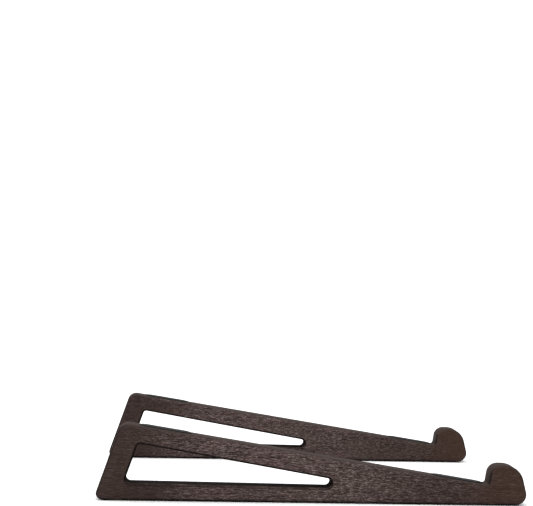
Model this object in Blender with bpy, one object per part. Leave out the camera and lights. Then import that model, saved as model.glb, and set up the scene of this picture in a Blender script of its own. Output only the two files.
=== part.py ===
"""Laptop stand: a pair of free-standing wooden wedge brackets with rubber pads.

Frame: +X runs forward, towards the hooks that stop the laptop, +Y to the user's right, +Z up.
The origin is on the desk, at the middle of the box around the pair. Lengths are in metres.
A bracket's outline is drawn in its own side view: u runs forward from the sharp rear bottom
corner and v runs up from the wooden base.
"""

import math

import bmesh
import bpy
from mathutils import Matrix, Vector

# The pair.
BRACKET_SPACING = 0.216
BOARD_THICKNESS = 0.018

# Side view of the wooden board, between its sharp corners.
BASE_LENGTH = 0.2525
REAR_HEIGHT = 0.0442
REAR_LEAN = math.radians(19.0)
HOOK_LENGTH = 0.0241
HOOK_HEIGHT = 0.02285
HOOK_FRONT_LEAN = math.radians(13.8)
NOTCH_HEIGHT = 0.0112

# Rounded corners of that side view.
REAR_FOOT_RADIUS = 0.0034
REAR_TOP_RADIUS = 0.0059
NOTCH_RADIUS = 0.0015
HOOK_TIP_RADIUS = 0.0065
HOOK_SHOULDER_RADIUS = 0.0112
HOOK_FOOT_RADIUS = 0.0059

# The long window through the board, and the bars around it.
REAR_BAR = 0.01325
SILL_HEIGHT = 0.0096
SILL_FALL = math.radians(0.54)
TOP_BAR = 0.0102
TOP_BAR_FLARE = math.radians(0.78)
WINDOW_SILL_RADIUS = 0.0028
WINDOW_TOP_RADIUS = 0.002
WINDOW_TIP_RADIUS = 0.0027

# The round that softens every edge between the board's sides and its rim.
EDGE_ROUND = 0.002

# Round rubber feet under the base, and long rubber pads on the support edge.
FOOT_THICKNESS = 0.0015
FOOT_MARGIN = 0.003
FOOT_INSET = 0.021
PAD_THICKNESS = 0.0012
PAD_LENGTH = 0.030
PAD_MARGIN = 0.0035
PAD_REAR_SETBACK = 0.011
PAD_FRONT_SETBACK = 0.0025
RUBBER_ROUND = 0.00025

# How the rubber sits in its pockets.
PROUD = 0.0006
SEAT_GAP = 0.0003

# Fineness of the curves.
WOOD_ARC_STEP = math.radians(9.0)
WOOD_ROUND_RESOLUTION = 2
RUBBER_ARC_STEP = math.radians(12.0)
RUBBER_ROUND_RESOLUTION = 0
WELD_DISTANCE = 0.00001
SMOOTH_ANGLE = math.radians(35.0)

LEFT = -1
RIGHT = 1


def unit(angle):
    """The side-view direction at an angle above +u."""
    return Vector((math.cos(angle), math.sin(angle)))


def meet(point_a, angle_a, point_b, angle_b):
    """The point where two side-view lines cross."""
    along_a, along_b = unit(angle_a), unit(angle_b)
    across = Vector((-along_b.y, along_b.x))
    return point_a + along_a * ((point_b - point_a).dot(across) / along_a.dot(across))


def rounded(corners):
    """A closed outline through (corner, radius) pairs, each corner replaced by an arc.

    Where two arcs would meet on the wall between them, both are made smaller to fit it.
    """
    count = len(corners)
    edges = [(corners[(index + 1) % count][0] - corners[index][0]) for index in range(count)]
    turns = [edges[index - 1].angle(edges[index]) for index in range(count)]
    cuts = [radius * math.tan(turn / 2) for (_, radius), turn in zip(corners, turns)]
    room = [edges[index].length / (cuts[index] + cuts[(index + 1) % count]) for index in range(count)]
    points = []
    for index, ((corner, radius), turn) in enumerate(zip(corners, turns)):
        fitted = radius * min(1.0, room[index - 1], room[index])
        middle = (edges[index].normalized() - edges[index - 1].normalized()).normalized()
        centre = corner + middle * (fitted / math.cos(turn / 2))
        side = math.copysign(1.0, edges[index - 1].cross(edges[index]))
        start = math.atan2(-middle.y, -middle.x) - side * turn / 2
        steps = max(2, math.ceil(turn / WOOD_ARC_STEP))
        for step in range(steps + 1):
            points.append(centre + unit(start + side * turn * step / steps) * fitted)
    return points


def board_corners():
    """The sharp corners that the board's rim is drawn between."""
    rear_bottom = Vector((0.0, 0.0))
    front_bottom = Vector((BASE_LENGTH, 0.0))
    rear_top = Vector((REAR_HEIGHT * math.tan(REAR_LEAN), REAR_HEIGHT))
    notch = Vector((BASE_LENGTH - HOOK_LENGTH, NOTCH_HEIGHT))
    along = (notch - rear_top).normalized()
    wall_angle = math.atan2(along.x, -along.y)
    hook_top = Vector((0.0, HOOK_HEIGHT))
    hook_tip = meet(notch, wall_angle, hook_top, 0.0)
    shoulder = meet(front_bottom, math.pi / 2 + HOOK_FRONT_LEAN, hook_top, 0.0)
    return rear_bottom, front_bottom, shoulder, hook_tip, notch, rear_top


REAR_BOTTOM, FRONT_BOTTOM, SHOULDER, HOOK_TIP, NOTCH, REAR_TOP = board_corners()
SUPPORT = (NOTCH - REAR_TOP).normalized()
SUPPORT_NORMAL = Vector((-SUPPORT.y, SUPPORT.x))
SUPPORT_ANGLE = math.atan2(SUPPORT.y, SUPPORT.x)
REAR_ANGLE = math.pi / 2 - REAR_LEAN


def board_outline():
    """The rim of the board: base, rounded hook, notch, support edge and leaning rear."""
    return rounded([
        (REAR_BOTTOM, REAR_FOOT_RADIUS),
        (FRONT_BOTTOM, HOOK_FOOT_RADIUS),
        (SHOULDER, HOOK_SHOULDER_RADIUS),
        (HOOK_TIP, HOOK_TIP_RADIUS),
        (NOTCH, NOTCH_RADIUS),
        (REAR_TOP, REAR_TOP_RADIUS),
    ])


def window_outline():
    """The long window, whose sill and top edge run together to a round tip."""
    rear = Vector((REAR_BAR / math.cos(REAR_LEAN), 0.0))
    sill = meet(rear, REAR_ANGLE, Vector((0.0, SILL_HEIGHT)), 0.0)
    below_support = REAR_TOP - SUPPORT_NORMAL * TOP_BAR
    top = meet(rear, REAR_ANGLE, below_support, SUPPORT_ANGLE)
    tip = meet(sill, -SILL_FALL, top, SUPPORT_ANGLE - TOP_BAR_FLARE)
    return rounded([(sill, WINDOW_SILL_RADIUS), (tip, WINDOW_TIP_RADIUS), (top, WINDOW_TOP_RADIUS)])


def stadium(length, width):
    """A strip's outline with half-round ends, or a circle where the two sizes are equal."""
    reach = (length - width) / 2
    steps = math.ceil(math.pi / RUBBER_ARC_STEP)
    points = []
    for end, start in ((reach, -math.pi / 2), (-reach, math.pi / 2)):
        whole_ends = 1 if reach > 0 else 0
        for step in range(steps + whole_ends):
            points.append(Vector((end, 0.0)) + unit(start + math.pi * step / steps) * (width / 2))
    return points


def collection(name):
    """A new collection in the scene."""
    made = bpy.data.collections.new(name)
    bpy.context.scene.collection.children.link(made)
    return made


def principled(name, colour, roughness):
    """A plain, non-metallic material."""
    made = bpy.data.materials.new(name)
    made.use_nodes = True
    shader = made.node_tree.nodes["Principled BSDF"]
    shader.inputs["Base Color"].default_value = (*colour, 1.0)
    shader.inputs["Roughness"].default_value = roughness
    shader.inputs["Metallic"].default_value = 0.0
    return made


def weld(mesh):
    """Joins a plate's loose sides to its rim and shades its rounds smooth."""
    work = bmesh.new()
    work.from_mesh(mesh)
    bmesh.ops.remove_doubles(work, verts=work.verts, dist=WELD_DISTANCE)
    bmesh.ops.recalc_face_normals(work, faces=work.faces)
    work.to_mesh(mesh)
    work.free()
    mesh.shade_smooth()
    mesh.set_sharp_from_angle(angle=SMOOTH_ANGLE)


def plate(name, outlines, thickness, edge_round, resolution, material):
    """A welded plate in the XY plane, with its sides at +-thickness/2 and its edges rounded."""
    curve = bpy.data.curves.new(name, "CURVE")
    curve.dimensions = "2D"
    curve.fill_mode = "BOTH"
    curve.extrude = thickness / 2 - edge_round
    curve.bevel_depth = edge_round
    curve.bevel_resolution = resolution
    curve.offset = -edge_round
    curve.materials.append(material)
    for outline in outlines:
        spline = curve.splines.new("POLY")
        spline.points.add(len(outline) - 1)
        for point, corner in zip(spline.points, outline):
            point.co = (*corner, 0.0, 1.0)
        spline.use_cyclic_u = True
    drawn = bpy.data.objects.new(name, curve)
    bpy.context.scene.collection.objects.link(drawn)
    graph = bpy.context.evaluated_depsgraph_get()
    mesh = bpy.data.meshes.new_from_object(drawn.evaluated_get(graph))
    bpy.data.objects.remove(drawn)
    bpy.data.curves.remove(curve)
    weld(mesh)
    mesh.name = name
    return mesh


def place(name, mesh, group, frame):
    """An object that shows a mesh in one bracket's side view."""
    made = bpy.data.objects.new(name, mesh)
    group.objects.link(made)
    made.parent = frame
    return made


def seat(piece, point, along, height):
    """Lays a plate on the board's rim at a point, its middle at a height above the rim."""
    normal = Vector((-along.y, along.x))
    middle = point + normal * height
    turn = Matrix(((along.x, 0.0, normal.x), (along.y, 0.0, normal.y), (0.0, -1.0, 0.0)))
    piece.matrix_local = Matrix.Translation((middle.x, middle.y, 0.0)) @ turn.to_4x4()


def seats():
    """Where the rubber goes: name, shape, point on the rim and direction along the rim."""
    backwards = Vector((-1.0, 0.0))
    foot_v = REAR_BOTTOM.y
    pad_half = PAD_LENGTH / 2
    return (
        ("rear_foot", "foot", Vector((FOOT_INSET, foot_v)), backwards),
        ("front_foot", "foot", Vector((BASE_LENGTH - FOOT_INSET, foot_v)), backwards),
        ("rear_pad", "pad", REAR_TOP + SUPPORT * (PAD_REAR_SETBACK + pad_half), SUPPORT),
        ("front_pad", "pad", NOTCH - SUPPORT * (PAD_FRONT_SETBACK + pad_half), SUPPORT),
    )


def rubber_shapes(material):
    """Each rubber piece's mesh, its pocket's cutter and its thickness, by shape."""
    foot_width = BOARD_THICKNESS - 2 * FOOT_MARGIN
    pad_width = BOARD_THICKNESS - 2 * PAD_MARGIN
    shapes = {}
    for shape, length, width, thickness in (
        ("foot", foot_width, foot_width, FOOT_THICKNESS),
        ("pad", PAD_LENGTH, pad_width, PAD_THICKNESS),
    ):
        strip = stadium(length, width)
        piece = plate(shape, [strip], thickness, RUBBER_ROUND, RUBBER_ROUND_RESOLUTION, material)
        mouth = stadium(length + 2 * SEAT_GAP, width + 2 * SEAT_GAP)
        pocket_depth = thickness - PROUD + SEAT_GAP
        cutter = plate(shape + "_pocket", [mouth], 2 * pocket_depth, 0.0, 0, material)
        shapes[shape] = (piece, cutter, thickness)
    return shapes


def cut(board, cutter):
    """Takes a cutter out of a board."""
    cutter.hide_render = True
    cutter.display_type = "WIRE"
    modifier = board.modifiers.new(cutter.name, "BOOLEAN")
    modifier.operation = "DIFFERENCE"
    modifier.solver = "EXACT"
    modifier.object = cutter


def bracket(side_name, side, middle_u, board_mesh, shapes, parts, cutters):
    """One bracket: the wooden board and the rubber that sits in its pockets."""
    frame = bpy.data.objects.new(side_name + "_side_view", None)
    parts.objects.link(frame)
    frame.location = (-middle_u, side * BRACKET_SPACING / 2, PROUD)
    frame.rotation_euler = (math.pi / 2, 0.0, 0.0)
    board = place(side_name + "_bracket", board_mesh, parts, frame)
    for name, shape, point, along in seats():
        piece_mesh, cutter_mesh, thickness = shapes[shape]
        piece = place(side_name + "_" + name, piece_mesh, parts, frame)
        seat(piece, point, along, PROUD - thickness / 2)
        cutter = place(side_name + "_" + name + "_pocket", cutter_mesh, cutters, frame)
        seat(cutter, point, along, 0.0)
        cut(board, cutter)


def build():
    """The pair of brackets."""
    for old in list(bpy.data.objects):
        bpy.data.objects.remove(old)
    parts = collection("laptop_stand")
    cutters = collection("cutters")
    wood = principled("dark_stained_wood", (0.062, 0.040, 0.034), 0.55)
    rubber = principled("black_rubber", (0.012, 0.012, 0.013), 0.75)
    outline = board_outline()
    faces = [outline, window_outline()]
    board_mesh = plate("board", faces, BOARD_THICKNESS, EDGE_ROUND, WOOD_ROUND_RESOLUTION, wood)
    shapes = rubber_shapes(rubber)
    middle_u = (min(point.x for point in outline) + max(point.x for point in outline)) / 2
    for side_name, side in (("left", LEFT), ("right", RIGHT)):
        bracket(side_name, side, middle_u, board_mesh, shapes, parts, cutters)


build()
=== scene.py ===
"""Looks of the laptop stand: two dark-stained plywood brackets with rubber feet and pads.

Lengths are in metres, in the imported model's frame: +X forward to the hooks, +Y right, +Z up.
A board is drawn in its own side view, as in the CAD: u runs forward from the sharp rear bottom
corner and v runs up from the wooden base.
"""

import math

import bmesh
import bpy
from mathutils import Matrix, Vector
from mathutils.geometry import intersect_point_line


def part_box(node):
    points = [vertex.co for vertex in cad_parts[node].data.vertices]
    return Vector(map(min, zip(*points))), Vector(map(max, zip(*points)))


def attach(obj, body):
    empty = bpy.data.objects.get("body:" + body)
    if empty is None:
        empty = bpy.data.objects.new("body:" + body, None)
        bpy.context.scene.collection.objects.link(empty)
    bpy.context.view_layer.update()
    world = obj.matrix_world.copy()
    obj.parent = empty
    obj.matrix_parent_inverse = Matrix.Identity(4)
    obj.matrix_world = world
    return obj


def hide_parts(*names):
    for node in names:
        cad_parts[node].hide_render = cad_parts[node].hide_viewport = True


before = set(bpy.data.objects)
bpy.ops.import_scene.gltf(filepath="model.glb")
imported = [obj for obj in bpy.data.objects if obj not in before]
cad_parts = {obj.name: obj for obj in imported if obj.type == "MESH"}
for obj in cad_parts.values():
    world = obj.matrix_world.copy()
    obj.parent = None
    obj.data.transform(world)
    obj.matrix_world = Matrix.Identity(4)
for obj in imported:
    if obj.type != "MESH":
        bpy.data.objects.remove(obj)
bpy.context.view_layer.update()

SIDES = ("left", "right")
FOOT_SLOT = "foot_rubber"
PAD_SLOT = "pad_rubber"

# The board's side view, between its sharp corners, as in the CAD.
BASE_LENGTH = 0.2525
REAR_HEIGHT = 0.0442
REAR_LEAN = math.radians(19.0)
HOOK_LENGTH = 0.0241
HOOK_HEIGHT = 0.02285
HOOK_FRONT_LEAN = math.radians(13.8)
NOTCH_HEIGHT = 0.0112
REAR_FOOT_RADIUS = 0.0034
REAR_TOP_RADIUS = 0.0059
NOTCH_RADIUS = 0.0015
HOOK_TIP_RADIUS = 0.0065
HOOK_SHOULDER_RADIUS = 0.0112
HOOK_FOOT_RADIUS = 0.0059
REAR_BAR = 0.01325
SILL_HEIGHT = 0.0096
SILL_FALL = math.radians(0.54)
TOP_BAR = 0.0102
TOP_BAR_FLARE = math.radians(0.78)
WINDOW_SILL_RADIUS = 0.0028
WINDOW_TOP_RADIUS = 0.002
WINDOW_TIP_RADIUS = 0.0027
EDGE_ROUND = 0.002

# Rubber and its seats, as in the CAD.
FOOT_THICKNESS = 0.0015
PAD_THICKNESS = 0.0012
PAD_LENGTH = 0.030
PAD_MARGIN = 0.0035
PAD_REAR_SETBACK = 0.011
PAD_FRONT_SETBACK = 0.0025
PROUD = 0.0006
SEAT_GAP = 0.0003

# Fineness of the drawn curves.
WOOD_ARC_STEP = math.radians(3.0)
FEWEST_ARC_STEPS = 4
WOOD_ROUND_RESOLUTION = 4
RUBBER_ARC_STEP = math.radians(7.5)
WELD_DISTANCE = 0.00001
SMOOTH_ANGLE = math.radians(40.0)

# The mark on a board's points that tells its material where the window's wall is, to paint shade
# there.
WINDOW_MARK = "window_wall"
WINDOW_MARK_REACH = 0.95 * EDGE_ROUND


# ---------------------------------------------------------------- side view

def unit(angle):
    """The side-view direction at an angle above +u."""
    return Vector((math.cos(angle), math.sin(angle)))


def meet(point_a, angle_a, point_b, angle_b):
    """The point where two side-view lines cross."""
    along_a, along_b = unit(angle_a), unit(angle_b)
    across = Vector((-along_b.y, along_b.x))
    return point_a + along_a * ((point_b - point_a).dot(across) / along_a.dot(across))


def rounded(corners):
    """A closed outline through (corner, radius) pairs, each corner replaced by an arc."""
    count = len(corners)
    points = []
    for index, (corner, radius) in enumerate(corners):
        before = (corner - corners[index - 1][0]).normalized()
        after = (corners[(index + 1) % count][0] - corner).normalized()
        turn = before.angle(after)
        middle = (after - before).normalized()
        centre = corner + middle * (radius / math.cos(turn / 2))
        side = math.copysign(1.0, before.cross(after))
        start = math.atan2(-middle.y, -middle.x) - side * turn / 2
        steps = max(FEWEST_ARC_STEPS, math.ceil(turn / WOOD_ARC_STEP))
        for step in range(steps + 1):
            points.append(centre + unit(start + side * turn * step / steps) * radius)
    return points


def board_corners():
    """The sharp corners that the board's rim is drawn between."""
    rear_bottom = Vector((0.0, 0.0))
    front_bottom = Vector((BASE_LENGTH, 0.0))
    rear_top = Vector((REAR_HEIGHT * math.tan(REAR_LEAN), REAR_HEIGHT))
    notch = Vector((BASE_LENGTH - HOOK_LENGTH, NOTCH_HEIGHT))
    along = (notch - rear_top).normalized()
    wall_angle = math.atan2(along.x, -along.y)
    hook_top = Vector((0.0, HOOK_HEIGHT))
    hook_tip = meet(notch, wall_angle, hook_top, 0.0)
    shoulder = meet(front_bottom, math.pi / 2 + HOOK_FRONT_LEAN, hook_top, 0.0)
    return rear_bottom, front_bottom, shoulder, hook_tip, notch, rear_top


REAR_BOTTOM, FRONT_BOTTOM, SHOULDER, HOOK_TIP, NOTCH, REAR_TOP = board_corners()
SUPPORT = (NOTCH - REAR_TOP).normalized()
SUPPORT_NORMAL = Vector((-SUPPORT.y, SUPPORT.x))
SUPPORT_ANGLE = math.atan2(SUPPORT.y, SUPPORT.x)
REAR_ANGLE = math.pi / 2 - REAR_LEAN


def board_outline():
    """The rim of the board: base, rounded hook, notch, support edge and leaning rear."""
    return rounded([
        (REAR_BOTTOM, REAR_FOOT_RADIUS),
        (FRONT_BOTTOM, HOOK_FOOT_RADIUS),
        (SHOULDER, HOOK_SHOULDER_RADIUS),
        (HOOK_TIP, HOOK_TIP_RADIUS),
        (NOTCH, NOTCH_RADIUS),
        (REAR_TOP, REAR_TOP_RADIUS),
    ])


def window_outline():
    """The long window, whose sill and top edge run together to a round tip."""
    rear = Vector((REAR_BAR / math.cos(REAR_LEAN), 0.0))
    sill = meet(rear, REAR_ANGLE, Vector((0.0, SILL_HEIGHT)), 0.0)
    below_support = REAR_TOP - SUPPORT_NORMAL * TOP_BAR
    top = meet(rear, REAR_ANGLE, below_support, SUPPORT_ANGLE)
    tip = meet(sill, -SILL_FALL, top, SUPPORT_ANGLE - TOP_BAR_FLARE)
    return rounded([
        (sill, WINDOW_SILL_RADIUS),
        (tip, WINDOW_TIP_RADIUS),
        (top, WINDOW_TOP_RADIUS),
    ])


def stadium(length, width, height):
    """A strip's outline with half-round ends, or a circle where the two sizes are equal."""
    reach = (length - width) / 2
    steps = math.ceil(math.pi / RUBBER_ARC_STEP)
    drawn = steps + 1 if reach > WELD_DISTANCE else steps
    points = []
    for end, start in ((reach, -math.pi / 2), (-reach, math.pi / 2)):
        for step in range(drawn):
            turned = unit(start + math.pi * step / steps) * (width / 2)
            points.append(Vector((end + turned.x, turned.y, height)))
    return points


# ---------------------------------------------------------------- meshes

def finish_mesh(mesh):
    """Welds a mesh, turns its faces outwards and shades its rounds smooth."""
    work = bmesh.new()
    work.from_mesh(mesh)
    bmesh.ops.remove_doubles(work, verts=work.verts, dist=WELD_DISTANCE)
    bmesh.ops.recalc_face_normals(work, faces=work.faces)
    work.to_mesh(mesh)
    work.free()
    mesh.shade_smooth()
    mesh.set_sharp_from_angle(angle=SMOOTH_ANGLE)


def evaluated_mesh(obj, name):
    """A new mesh of an object as its modifiers leave it."""
    graph = bpy.context.evaluated_depsgraph_get()
    mesh = bpy.data.meshes.new_from_object(obj.evaluated_get(graph))
    mesh.name = name
    return mesh


def linked(name, data):
    """A new object in the scene."""
    made = bpy.data.objects.new(name, data)
    bpy.context.scene.collection.objects.link(made)
    return made


def plate(name, outlines, thickness, edge_round, resolution):
    """A welded plate in the XY plane, with its sides at +-thickness/2 and its edges rounded."""
    curve = bpy.data.curves.new(name, "CURVE")
    curve.dimensions = "2D"
    curve.fill_mode = "BOTH"
    curve.extrude = thickness / 2 - edge_round
    curve.bevel_depth = edge_round
    curve.bevel_resolution = resolution
    curve.offset = -edge_round
    for outline in outlines:
        spline = curve.splines.new("POLY")
        spline.points.add(len(outline) - 1)
        for point, corner in zip(spline.points, outline):
            point.co = (corner.x, corner.y, 0.0, 1.0)
        spline.use_cyclic_u = True
    drawn = linked(name + "_curve", curve)
    mesh = evaluated_mesh(drawn, name)
    bpy.data.objects.remove(drawn)
    finish_mesh(mesh)
    return mesh


def lofted(name, length, width, profile):
    """A closed strip from (inset, height) pairs: its bottom first, then its wall, then its top."""
    work = bmesh.new()
    rings = []
    for inset, height in profile:
        outline = stadium(length - 2 * inset, width - 2 * inset, height)
        rings.append([work.verts.new(point) for point in outline])
    for lower, upper in zip(rings, rings[1:]):
        for index in range(len(lower)):
            after = (index + 1) % len(lower)
            work.faces.new((lower[index], lower[after], upper[after], upper[index]))
    work.faces.new(list(reversed(rings[0])))
    work.faces.new(rings[-1])
    mesh = bpy.data.meshes.new(name)
    work.to_mesh(mesh)
    work.free()
    finish_mesh(mesh)
    return mesh


def mark_window(mesh):
    """Notes on each point of a board how near the window's wall it is, from 1 on it to 0."""
    window = window_outline()
    mark = mesh.attributes.new(WINDOW_MARK, "FLOAT", "POINT")
    for vertex, value in zip(mesh.vertices, mark.data):
        away = min((vertex.co.xy - corner).length for corner in window)
        for start, end in zip(window, window[1:] + window[:1]):
            nearest, share = intersect_point_line(vertex.co.xy, start, end)
            if 0.0 < share < 1.0:
                away = min(away, (vertex.co.xy - nearest.xy).length)
        value.value = max(0.0, 1.0 - away / WINDOW_MARK_REACH)


# ---------------------------------------------------------------- seats

def seat_matrix(point, along, height):
    """From a strip's own frame to the side view: its middle at a height above the rim."""
    normal = Vector((-along.y, along.x))
    middle = point + normal * height
    turn = Matrix(((along.x, 0.0, normal.x), (along.y, 0.0, normal.y), (0.0, -1.0, 0.0)))
    return Matrix.Translation((middle.x, middle.y, 0.0)) @ turn.to_4x4()


def side_view_matrix(node):
    """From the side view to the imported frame, read from a bracket's box."""
    low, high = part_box(node)
    rear_most = min(point.x for point in board_outline())
    shift = Matrix.Translation((low.x - rear_most, (low.y + high.y) / 2, low.z))
    return shift @ Matrix.Rotation(math.pi / 2, 4, "X")


def pad_seats():
    """Where the pads go: name and point on the rim."""
    pad_half = PAD_LENGTH / 2
    return (
        ("rear_pad", REAR_TOP + SUPPORT * (PAD_REAR_SETBACK + pad_half)),
        ("front_pad", NOTCH - SUPPORT * (PAD_FRONT_SETBACK + pad_half)),
    )


def foot_seat(node, view):
    """A foot's point on the base line, in the side view, read from its box."""
    low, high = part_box(node)
    middle = view.inverted() @ Vector(((low.x + high.x) / 2, 0.0, 0.0))
    return Vector((middle.x, 0.0))


# ---------------------------------------------------------------- node helpers

class Nodes:
    """Short names for building a material's node tree."""

    def __init__(self, name):
        self.material = bpy.data.materials.new(name)
        self.material.use_nodes = True
        self.tree = self.material.node_tree
        self.shader = self.tree.nodes["Principled BSDF"]

    def add(self, kind, **settings):
        node = self.tree.nodes.new(kind)
        for key, value in settings.items():
            setattr(node, key, value)
        return node

    def put(self, socket, value):
        """Links an output to a socket, or sets the socket to a plain value."""
        if isinstance(value, bpy.types.NodeSocket):
            self.tree.links.new(value, socket)
        elif isinstance(value, tuple) and len(value) == 3 and socket.type == "RGBA":
            socket.default_value = (*value, 1.0)
        else:
            socket.default_value = value

    def axes(self, vector):
        """A vector's X, Y and Z."""
        node = self.add("ShaderNodeSeparateXYZ")
        self.put(node.inputs[0], vector)
        return node.outputs

    def math(self, operation, first, second=0.0, third=0.0):
        node = self.add("ShaderNodeMath", operation=operation)
        for socket, value in zip(node.inputs, (first, second, third)):
            self.put(socket, value)
        return node.outputs[0]

    def times(self, first, second):
        """One value times another."""
        return self.math("MULTIPLY", first, second)

    def inverse(self, mask):
        """What a mask leaves."""
        return self.math("SUBTRACT", 1.0, mask)

    def weighted(self, first, second, share):
        """Two values added, the first by its share and the second by the rest."""
        return self.math("ADD", self.times(first, share), self.times(second, 1.0 - share))

    def scaled(self, vector, scale):
        node = self.add("ShaderNodeVectorMath", operation="MULTIPLY")
        self.put(node.inputs[0], vector)
        self.put(node.inputs[1], scale)
        return node.outputs[0]

    def noise(self, vector, scale, detail=2.0, roughness=0.5, distortion=0.0):
        """Noise from 0 to 1, with its own scale on each axis."""
        node = self.add("ShaderNodeTexNoise")
        self.put(node.inputs["Vector"], self.scaled(vector, scale))
        node.inputs["Scale"].default_value = 1.0
        node.inputs["Detail"].default_value = detail
        node.inputs["Roughness"].default_value = roughness
        node.inputs["Distortion"].default_value = distortion
        return node.outputs[0]

    def step(self, value, low, high, out_low=0.0, out_high=1.0):
        """A smooth step between two values."""
        node = self.add("ShaderNodeMapRange", interpolation_type="SMOOTHSTEP")
        for socket, number in zip(node.inputs, (value, low, high, out_low, out_high)):
            self.put(socket, number)
        return node.outputs[0]

    def mix(self, factor, first, second, kind="RGBA"):
        """Two colours mixed, or two values where the kind is FLOAT."""
        node = self.add("ShaderNodeMix", data_type=kind)
        named = {socket.identifier: socket for socket in node.inputs}
        end = "Color" if kind == "RGBA" else "Float"
        self.put(named["Factor_Float"], factor)
        self.put(named["A_" + end], first)
        self.put(named["B_" + end], second)
        return next(out for out in node.outputs if out.identifier == "Result_" + end)

    def stain(self, colour, mask, stain):
        """A colour tinted where a mask is on, by a (strength, tint) pair."""
        strength, tint = stain
        return self.mix(self.times(mask, strength), colour, tint)

    def bump(self, height, strength, distance):
        node = self.add("ShaderNodeBump")
        node.inputs["Strength"].default_value = strength
        node.inputs["Distance"].default_value = distance
        self.put(node.inputs["Height"], height)
        return node.outputs[0]

    def finish(self, colour, roughness, specular, normal=None):
        """Gives the shader its inputs and returns the material."""
        self.put(self.shader.inputs["Base Color"], colour)
        self.put(self.shader.inputs["Roughness"], roughness)
        self.shader.inputs["Specular IOR Level"].default_value = specular
        if normal is not None:
            self.put(self.shader.inputs["Normal"], normal)
        return self.material


# ---------------------------------------------------------------- wood

# Noises: features per metre along, across and up a board, then detail, roughness, distortion.
STREAKS = ((30.0, 300.0, 1900.0), 3.0, 0.6, 0.3)
GRAIN = ((270.0, 900.0, 3000.0), 2.0, 0.6)
PORES = ((740.0, 1900.0, 3600.0), 1.0, 0.6)
CLOUDS = ((16.0, 20.0, 38.0), 2.0, 0.5)
PATCHES = ((24.0, 30.0, 70.0), 2.0, 0.55)
WEAR = ((90.0, 90.0, 140.0), 3.0, 0.7)
PLY_WAVES = ((60.0, 0.0, 60.0), 1.0)
PLY_GRAIN = ((150.0, 1600.0, 150.0), 3.0, 0.65)
END_GRAIN = ((1500.0, 1500.0, 1500.0), 2.0, 0.7)

# The part of its noise over which each of these goes from none or dark to full or pale.
VENEER_TONE = (0.39, 0.61)
PATCH_TONE = (0.46, 0.66)
GLINT_TONE = (0.50, 0.66)
LONG_PLY_TONE = (0.30, 0.70)
CROSS_PLY_TONE = (0.35, 0.70)
RUBBED_TONE = (0.56, 0.72)

# The first noise's share where two are added.
STREAKS_IN_VENEER = 0.50
PORES_IN_GLINTS = 0.55
GRAIN_IN_RELIEF = 0.60
PLY_GRAIN_IN_RIM = 0.75

# Linear colours from dark to pale, and stains as (strength, tint); the glint, edge and window
# tints are painted glints and painted shade.
VENEER = ((0.0110, 0.0053, 0.0043), (0.070, 0.0425, 0.0390))
LONG_PLY = ((0.016, 0.0086, 0.0066), (0.058, 0.0350, 0.0275))
CROSS_PLY = ((0.011, 0.0060, 0.0048), (0.041, 0.0245, 0.0195))
# Painted glints: a pale colour for the satin finish's glints on the pores.
PAINTED_GLINT = (0.210, 0.168, 0.164)
END_STAIN = (0.64, (0.017, 0.0082, 0.0066))
HOOK_STAIN = (0.42, (0.047, 0.0215, 0.0118))
PATCH_STAIN = (0.30, (0.0375, 0.0260, 0.0165))
GLUE_STAIN = (0.75, (0.0062, 0.0040, 0.0034))
# Painted shade on the rounds, which face away from the light.
EDGE_PAINTED_SHADE = (0.86, (0.0045, 0.0022, 0.0017))
# Painted shade: the window's walls made nearly black, for the shadow that falls into the window.
WINDOW_PAINTED_SHADE = (0.86, (0.0030, 0.0017, 0.0014))
RUBBED_STAIN = (0.65, (0.105, 0.071, 0.053))

# Places along the board (X) from where a zone starts to where it is full.
REAR_ZONE = (-0.055, -0.100)
REAR_CALM = (-0.085, -0.105)
FRONT_ZONE = (0.005, 0.095)
HOOK_ZONE = (0.084, 0.112)
ZONE_SWAY = 0.045

# How far a surface faces sideways, |normal Y|, where each part of the board starts and is full.
RIM_FACING = (0.8, 0.35)
EDGE_FACING_RIM = (0.02, 0.14)
EDGE_FACING_SIDE = (0.94, 0.66)

# The same for how far it faces up, normal Z, and for the window's mark.
UPPER_EDGE_FACING = (0.10, 0.60)
WINDOW_MARKED = (0.15, 0.60)
# The share of the rounds' painted shade taken off where they face up, as light falls on them from
# above.
LIT_UPPER_EDGE_SHARE = 0.70

# The share of the painted glints that shows: pale spots that stand in for the finish's glints on
# the pores.
GLINTS_MIDDLE = 0.95
GLINTS_ENDS = 0.42
GLINTS_CALM = 0.35
GLINTS_CLOUD = (0.3, 0.6, 0.65, 1.0)

# Plies: their number, half a glue line as a share of a ply, and how far the layers wave.
PLY_COUNT = 11
GLUE_LINE = 0.09
GLUE_CORE = 0.02
PLY_WAVE = 0.0005

# Roughness, with what each surface adds at most, and relief.
WOOD_ROUGHNESS = 0.42
GRAIN_ROUGHNESS = 0.22
RIM_ROUGHNESS = 0.18
WINDOW_ROUGHNESS = 0.40
RUBBED_ROUGHNESS = -0.12
WOOD_SPECULAR = 0.10
GLUE_SINK = 0.6
WOOD_BUMP = (0.45, 0.00022)


def painted_glints(n, grain, pores, cloud, ends, calm):
    """Painted glints: pale spots for the satin finish's glints on the pores, most in the middle of
    a board, fewer towards its ends.
    """
    glint = n.step(n.weighted(pores, grain, PORES_IN_GLINTS), *GLINT_TONE)
    share = n.step(ends, 0.0, 1.0, GLINTS_MIDDLE, GLINTS_ENDS)
    share = n.times(share, n.step(calm, 0.0, 1.0, 1.0, GLINTS_CALM))
    share = n.times(share, n.step(cloud, *GLINTS_CLOUD))
    return n.times(glint, share)


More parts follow.
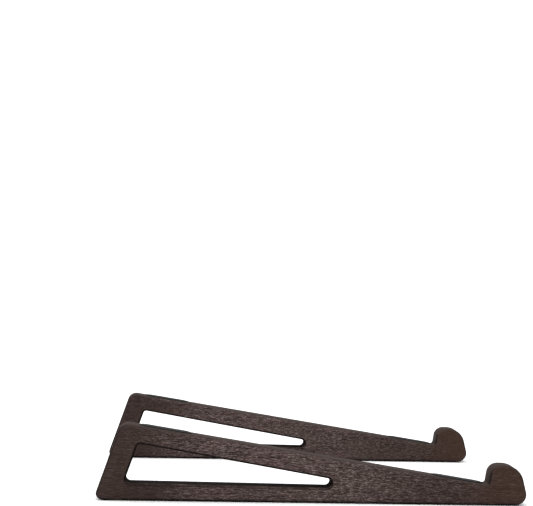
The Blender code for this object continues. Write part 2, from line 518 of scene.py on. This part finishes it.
def face_veneer(n, place, along):
    """A side's colour, grain and pores: long streaks and painted glints on the pores, with darker,
    browner ends.
    """
    streak = n.noise(place, *STREAKS)
    grain = n.noise(place, *GRAIN)
    pores = n.noise(place, *PORES)
    cloud = n.noise(place, *CLOUDS)
    tone = n.step(n.weighted(streak, grain, STREAKS_IN_VENEER), *VENEER_TONE)
    colour = n.mix(tone, *VENEER)
    sway = n.times(n.math("SUBTRACT", cloud, 0.5), ZONE_SWAY)
    spot = n.math("ADD", along, sway)
    ends = n.math("MAXIMUM", n.step(spot, *REAR_ZONE), n.step(spot, *FRONT_ZONE))
    hook = n.step(spot, *HOOK_ZONE)
    calm = n.math("MAXIMUM", n.step(spot, *REAR_CALM), hook)
    colour = n.stain(colour, ends, END_STAIN)
    colour = n.stain(colour, hook, HOOK_STAIN)
    patch = n.step(n.noise(place, *PATCHES), *PATCH_TONE)
    colour = n.stain(colour, patch, PATCH_STAIN)
    # Mixes in the painted glints.
    colour = n.mix(painted_glints(n, grain, pores, cloud, ends, calm), colour, PAINTED_GLINT)
    return colour, grain, pores


def rim_plies(n, place, across, thickness, board_y):
    """The rim's colour and height: plies and glue lines, every second ply cut across its grain."""
    depth = n.math("SUBTRACT", n.math("ABSOLUTE", across), board_y - thickness / 2)
    wave = n.math("SUBTRACT", n.noise(place, *PLY_WAVES), 0.5)
    depth = n.math("ADD", depth, n.times(wave, PLY_WAVE))
    ply = n.times(depth, PLY_COUNT / thickness)
    in_ply = n.math("FRACT", ply)
    crossed = n.math("GREATER_THAN", n.math("MODULO", ply, 2.0), 1.0)
    glue = n.step(n.math("MINIMUM", in_ply, n.inverse(in_ply)), GLUE_LINE, GLUE_CORE)
    ply_grain = n.noise(place, *PLY_GRAIN)
    end_grain = n.noise(place, *END_GRAIN)
    tone = n.weighted(ply_grain, end_grain, PLY_GRAIN_IN_RIM)
    long_ply = n.mix(n.step(tone, *LONG_PLY_TONE), *LONG_PLY)
    cross_ply = n.mix(n.step(end_grain, *CROSS_PLY_TONE), *CROSS_PLY)
    colour = n.stain(n.mix(crossed, long_ply, cross_ply), glue, GLUE_STAIN)
    return colour, n.math("SUBTRACT", tone, n.times(glue, GLUE_SINK))


def shaded_and_worn_edges(n, place, facing, up, colour):
    """Painted shade on the rounds and the window's walls, and wear rubbed pale in places: colour,
    and the window's painted-shade mask and the rubbed mask.

    Rounds that face up get less of the painted shade, because light falls on them from above.
    """
    edge = n.times(n.step(facing, *EDGE_FACING_RIM), n.step(facing, *EDGE_FACING_SIDE))
    upper = n.times(edge, n.step(up, *UPPER_EDGE_FACING))
    dark = n.math("SUBTRACT", edge, n.times(upper, LIT_UPPER_EDGE_SHARE))
    # Painted shade on the rounds, less where they face up.
    colour = n.stain(colour, dark, EDGE_PAINTED_SHADE)
    mark = n.add("ShaderNodeAttribute", attribute_name=WINDOW_MARK).outputs["Fac"]
    window = n.times(n.step(mark, *WINDOW_MARKED), n.inverse(upper))
    # Painted shade on the window's walls, except their up-facing rounds.
    colour = n.stain(colour, window, WINDOW_PAINTED_SHADE)
    rub = n.step(n.noise(place, *WEAR), *RUBBED_TONE)
    rubbed = n.times(n.times(edge, rub), n.inverse(window))
    return n.stain(colour, rubbed, RUBBED_STAIN), window, rubbed


def stained_wood(thickness, board_y):
    """Dark-stained plywood: streaky sides with painted glints, plies along the rim, and edges with
    painted shade and rubbed wear.
    """
    n = Nodes("dark_stained_wood")
    coordinates = n.add("ShaderNodeTexCoord").outputs
    place = coordinates["Object"]
    along, across, _ = n.axes(place)
    _, sideways, up = n.axes(coordinates["Normal"])
    facing = n.math("ABSOLUTE", sideways)
    rim = n.step(facing, *RIM_FACING)
    veneer, grain, pores = face_veneer(n, place, along)
    plies, rim_height = rim_plies(n, place, across, thickness, board_y)
    colour = n.mix(rim, veneer, plies)
    colour, window, rubbed = shaded_and_worn_edges(n, place, facing, up, colour)
    roughness = WOOD_ROUGHNESS
    for mask, added in (
        (grain, GRAIN_ROUGHNESS),
        (rim, RIM_ROUGHNESS),
        (window, WINDOW_ROUGHNESS),
        (rubbed, RUBBED_ROUGHNESS),
    ):
        roughness = n.math("MULTIPLY_ADD", mask, added, roughness)
    height = n.mix(rim, n.weighted(grain, pores, GRAIN_IN_RELIEF), rim_height, "FLOAT")
    return n.finish(colour, roughness, WOOD_SPECULAR, n.bump(height, *WOOD_BUMP))


# ---------------------------------------------------------------- rubber and floor

# Noises, tones, stains and relief as for the wood. The roughness goes over a tone of the mottling.
PEBBLES = ((3200.0, 3200.0, 3200.0), 2.0, 0.6)
MOTTLING = ((260.0, 260.0, 260.0), 3.0, 0.6)
MOTTLE_TONE = (0.30, 0.70)
MOTTLE_DARK = 0.7
MOTTLE_PALE = 1.5
DUST = ((1900.0, 1900.0, 1900.0), 1.0)
DUST_TONE = (0.68, 0.76)
DUST_STAIN = (0.30, (0.07, 0.066, 0.062))
FOOT_SHADE = (0.0085, 0.0085, 0.0088)
PAD_SHADE = (0.0070, 0.0069, 0.0070)
RUBBER_ROUGHNESS = (0.20, 0.80, 0.66, 0.86)
RUBBER_SPECULAR = 0.18
RUBBER_BUMP = (0.5, 0.00008)

FLOOR_CLOUDS = ((3.0, 3.0, 3.0), 2.0)
FLOOR_SHADES = ((0.90, 0.90, 0.895), (0.93, 0.93, 0.93))
FLOOR_ROUGHNESS = 0.9
FLOOR_SPECULAR = 0.1


def black_rubber(name, shade):
    """Matt moulded rubber: pebbled, mottled and a little dusty."""
    n = Nodes(name)
    place = n.add("ShaderNodeTexCoord").outputs["Object"]
    pebble = n.noise(place, *PEBBLES)
    cloud = n.noise(place, *MOTTLING)
    speck = n.step(n.noise(place, *DUST), *DUST_TONE)
    dark = tuple(MOTTLE_DARK * channel for channel in shade)
    pale = tuple(MOTTLE_PALE * channel for channel in shade)
    colour = n.stain(n.mix(n.step(cloud, *MOTTLE_TONE), dark, pale), speck, DUST_STAIN)
    roughness = n.step(cloud, *RUBBER_ROUGHNESS)
    return n.finish(colour, roughness, RUBBER_SPECULAR, n.bump(pebble, *RUBBER_BUMP))


def floor_paint():
    """Plain pale studio floor."""
    n = Nodes("pale_floor")
    place = n.add("ShaderNodeTexCoord").outputs["Object"]
    colour = n.mix(n.noise(place, *FLOOR_CLOUDS), *FLOOR_SHADES)
    return n.finish(colour, FLOOR_ROUGHNESS, FLOOR_SPECULAR)


# ---------------------------------------------------------------- pieces

# (inset, height) pairs of the two moulded shapes, from the glued side to the free side.
FOOT_PROFILE = (
    (0.00035, 0.0), (0.0001, 0.00008), (0.0, 0.00028), (0.0, 0.00105), (0.00006, 0.00128),
    (0.00022, 0.00144), (0.00045, 0.0015), (0.0018, 0.0015), (0.00205, 0.00142),
    (0.00225, 0.00128), (0.00245, 0.00124), (0.004, 0.00122),
)
PAD_PROFILE = (
    (0.00035, 0.0), (0.0001, 0.00008), (0.0, 0.00028), (0.0, 0.00078), (0.00006, 0.00098),
    (0.00022, 0.00112), (0.00046, 0.00117), (0.00105, 0.00118), (0.00122, 0.00108),
    (0.0014, 0.00104), (0.00158, 0.00108), (0.00175, 0.00117), (0.0028, 0.00119), (0.0045, 0.0012),
)

# Each kind of rubber piece: thickness, profile and material slot.
RUBBER = {
    "foot": (FOOT_THICKNESS, FOOT_PROFILE, FOOT_SLOT),
    "pad": (PAD_THICKNESS, PAD_PROFILE, PAD_SLOT),
}


def show(name, mesh, matrix, material, body, node):
    """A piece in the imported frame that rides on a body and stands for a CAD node."""
    mesh.transform(matrix)
    mesh.materials.clear()
    mesh.materials.append(material)
    piece = linked(name, mesh)
    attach(piece, body)
    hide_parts(node)
    return piece


def pocket(board, name, length, width, thickness, matrix):
    """Adds the cut of one rubber piece's seat to a board, and returns its cutter."""
    mouth = stadium(length + 2 * SEAT_GAP, width + 2 * SEAT_GAP, 0.0)
    depth = thickness - PROUD + SEAT_GAP
    cutter = linked(name, plate(name, [mouth], 2 * depth, 0.0, 0))
    cutter.matrix_world = matrix
    modifier = board.modifiers.new(name, "BOOLEAN")
    modifier.operation = "DIFFERENCE"
    modifier.solver = "EXACT"
    modifier.object = cutter
    return cutter


def foot_width(node):
    """A foot's diameter, read from its box."""
    low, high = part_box(node)
    return high.x - low.x


def rubber_seats(side, view, thickness):
    """One bracket's rubber: node, kind, length, width, point on the rim and direction along it."""
    backwards = Vector((-1.0, 0.0))
    seats = []
    for name in ("rear_foot", "front_foot"):
        node = side + "_" + name
        width = foot_width(node)
        seats.append((node, "foot", width, width, foot_seat(node, view), backwards))
    for name, point in pad_seats():
        width = thickness - 2 * PAD_MARGIN
        seats.append((side + "_" + name, "pad", PAD_LENGTH, width, point, SUPPORT))
    return seats


def bracket(side, wood, rubber):
    """One bracket: the board, its two feet and its two pads."""
    body = side + "_stand"
    node = side + "_bracket"
    view = side_view_matrix(node)
    low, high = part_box(node)
    width = high.y - low.y
    outlines = [board_outline(), window_outline()]
    blank_mesh = plate("board", outlines, width, EDGE_ROUND, WOOD_ROUND_RESOLUTION)
    blank = linked(side + "_blank", blank_mesh)
    used = [blank]
    for seated, kind, length, across, point, along in rubber_seats(side, view, width):
        thickness, profile, slot = RUBBER[kind]
        rim = seat_matrix(point, along, 0.0)
        used.append(pocket(blank, seated + "_pocket", length, across, thickness, rim))
        seat = view @ seat_matrix(point, along, PROUD - thickness)
        mesh = lofted(seated, length, across, profile)
        show(seated + "_moulded", mesh, seat, rubber[kind], body, seated)
    bpy.context.view_layer.update()
    board = evaluated_mesh(blank, side + "_board")
    finish_mesh(board)
    mark_window(board)
    for scaffold in used:
        bpy.data.objects.remove(scaffold)
    show(side + "_board", board, view, wood, body, node)


def stand():
    """Both brackets."""
    low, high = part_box("right_bracket")
    wood = stained_wood(high.y - low.y, (low.y + high.y) / 2)
    rubber = {
        "foot": black_rubber("foot_rubber", FOOT_SHADE),
        "pad": black_rubber("pad_rubber", PAD_SHADE),
    }
    for side in SIDES:
        bracket(side, wood, rubber)


# ---------------------------------------------------------------- stage

FLOOR_REACH = 30.0

# The surrounding light grows with the height of its direction, and the camera sees it white.
HORIZON_LIGHT = 0.12
ZENITH_LIGHT = 1.65
FULL_LIGHT_HEIGHT = math.sin(math.radians(48.0))
SEEN_LIGHT = 1.05

# Softboxes aimed at the origin: name, place, size and power.
SOFTBOXES = (
    ("overhead", (-0.2, 0.2, 1.5), 1.2, 8.0),
    ("front_left", (-0.9, -1.6, 0.9), 1.0, 5.0),
)

CAMERA_PLACE = Vector((-0.0824, -1.1549, 0.1439))
CAMERA_TURN = math.radians(2.92)
CAMERA_ROLL = math.radians(1.175)
CAMERA_LENS = 121.92
CAMERA_CLIP = (0.05, 100.0)
SENSOR_WIDTH = 36.0


def floor():
    """A wide pale floor at the feet."""
    corners = [
        (FLOOR_REACH * x, FLOOR_REACH * y, 0.0)
        for x, y in ((-1, -1), (1, -1), (1, 1), (-1, 1))
    ]
    mesh = bpy.data.meshes.new("floor")
    mesh.from_pydata(corners, [], [(0, 1, 2, 3)])
    mesh.materials.append(floor_paint())
    linked("floor", mesh)


def surround():
    """Soft light from all around, strongest overhead."""
    world = bpy.data.worlds.new("studio")
    bpy.context.scene.world = world
    world.use_nodes = True
    tree = world.node_tree
    background = tree.nodes["Background"]
    background.inputs["Color"].default_value = (1.0, 1.0, 1.0, 1.0)
    direction = tree.nodes.new("ShaderNodeTexCoord")
    height = tree.nodes.new("ShaderNodeSeparateXYZ")
    glow = tree.nodes.new("ShaderNodeMapRange")
    glow.interpolation_type = "SMOOTHSTEP"
    glow.inputs["From Max"].default_value = FULL_LIGHT_HEIGHT
    glow.inputs["To Min"].default_value = HORIZON_LIGHT
    glow.inputs["To Max"].default_value = ZENITH_LIGHT
    rays = tree.nodes.new("ShaderNodeLightPath")
    seen = tree.nodes.new("ShaderNodeMix")
    named = {socket.identifier: socket for socket in seen.inputs}
    named["B_Float"].default_value = SEEN_LIGHT
    tree.links.new(direction.outputs["Generated"], height.inputs[0])
    tree.links.new(height.outputs["Z"], glow.inputs["Value"])
    tree.links.new(rays.outputs["Is Camera Ray"], named["Factor_Float"])
    tree.links.new(glow.outputs[0], named["A_Float"])
    tree.links.new(seen.outputs[0], background.inputs["Strength"])


def softboxes():
    """Large area lights that give the rounds a soft sheen."""
    for name, place, size, power in SOFTBOXES:
        light = bpy.data.lights.new(name, "AREA")
        light.size = size
        light.energy = power
        lamp = linked(name, light)
        lamp.location = place
        lamp.rotation_mode = "QUATERNION"
        lamp.rotation_quaternion = (-Vector(place)).to_track_quat("-Z", "Y")


def camera():
    """A level long-lens camera on the left of the stand."""
    data = bpy.data.cameras.new("camera")
    data.sensor_fit = "HORIZONTAL"
    data.sensor_width = SENSOR_WIDTH
    data.lens = CAMERA_LENS
    data.clip_start, data.clip_end = CAMERA_CLIP
    made = linked("camera", data)
    level = Matrix.Rotation(-CAMERA_TURN, 4, "Z") @ Matrix.Rotation(math.pi / 2, 4, "X")
    roll = Matrix.Rotation(CAMERA_ROLL, 4, "Z")
    made.matrix_world = Matrix.Translation(CAMERA_PLACE) @ level @ roll
    bpy.context.scene.camera = made


stand()
floor()
surround()
softboxes()
camera()
bpy.context.scene.view_settings.view_transform = "Standard"
bpy.context.view_layer.update()
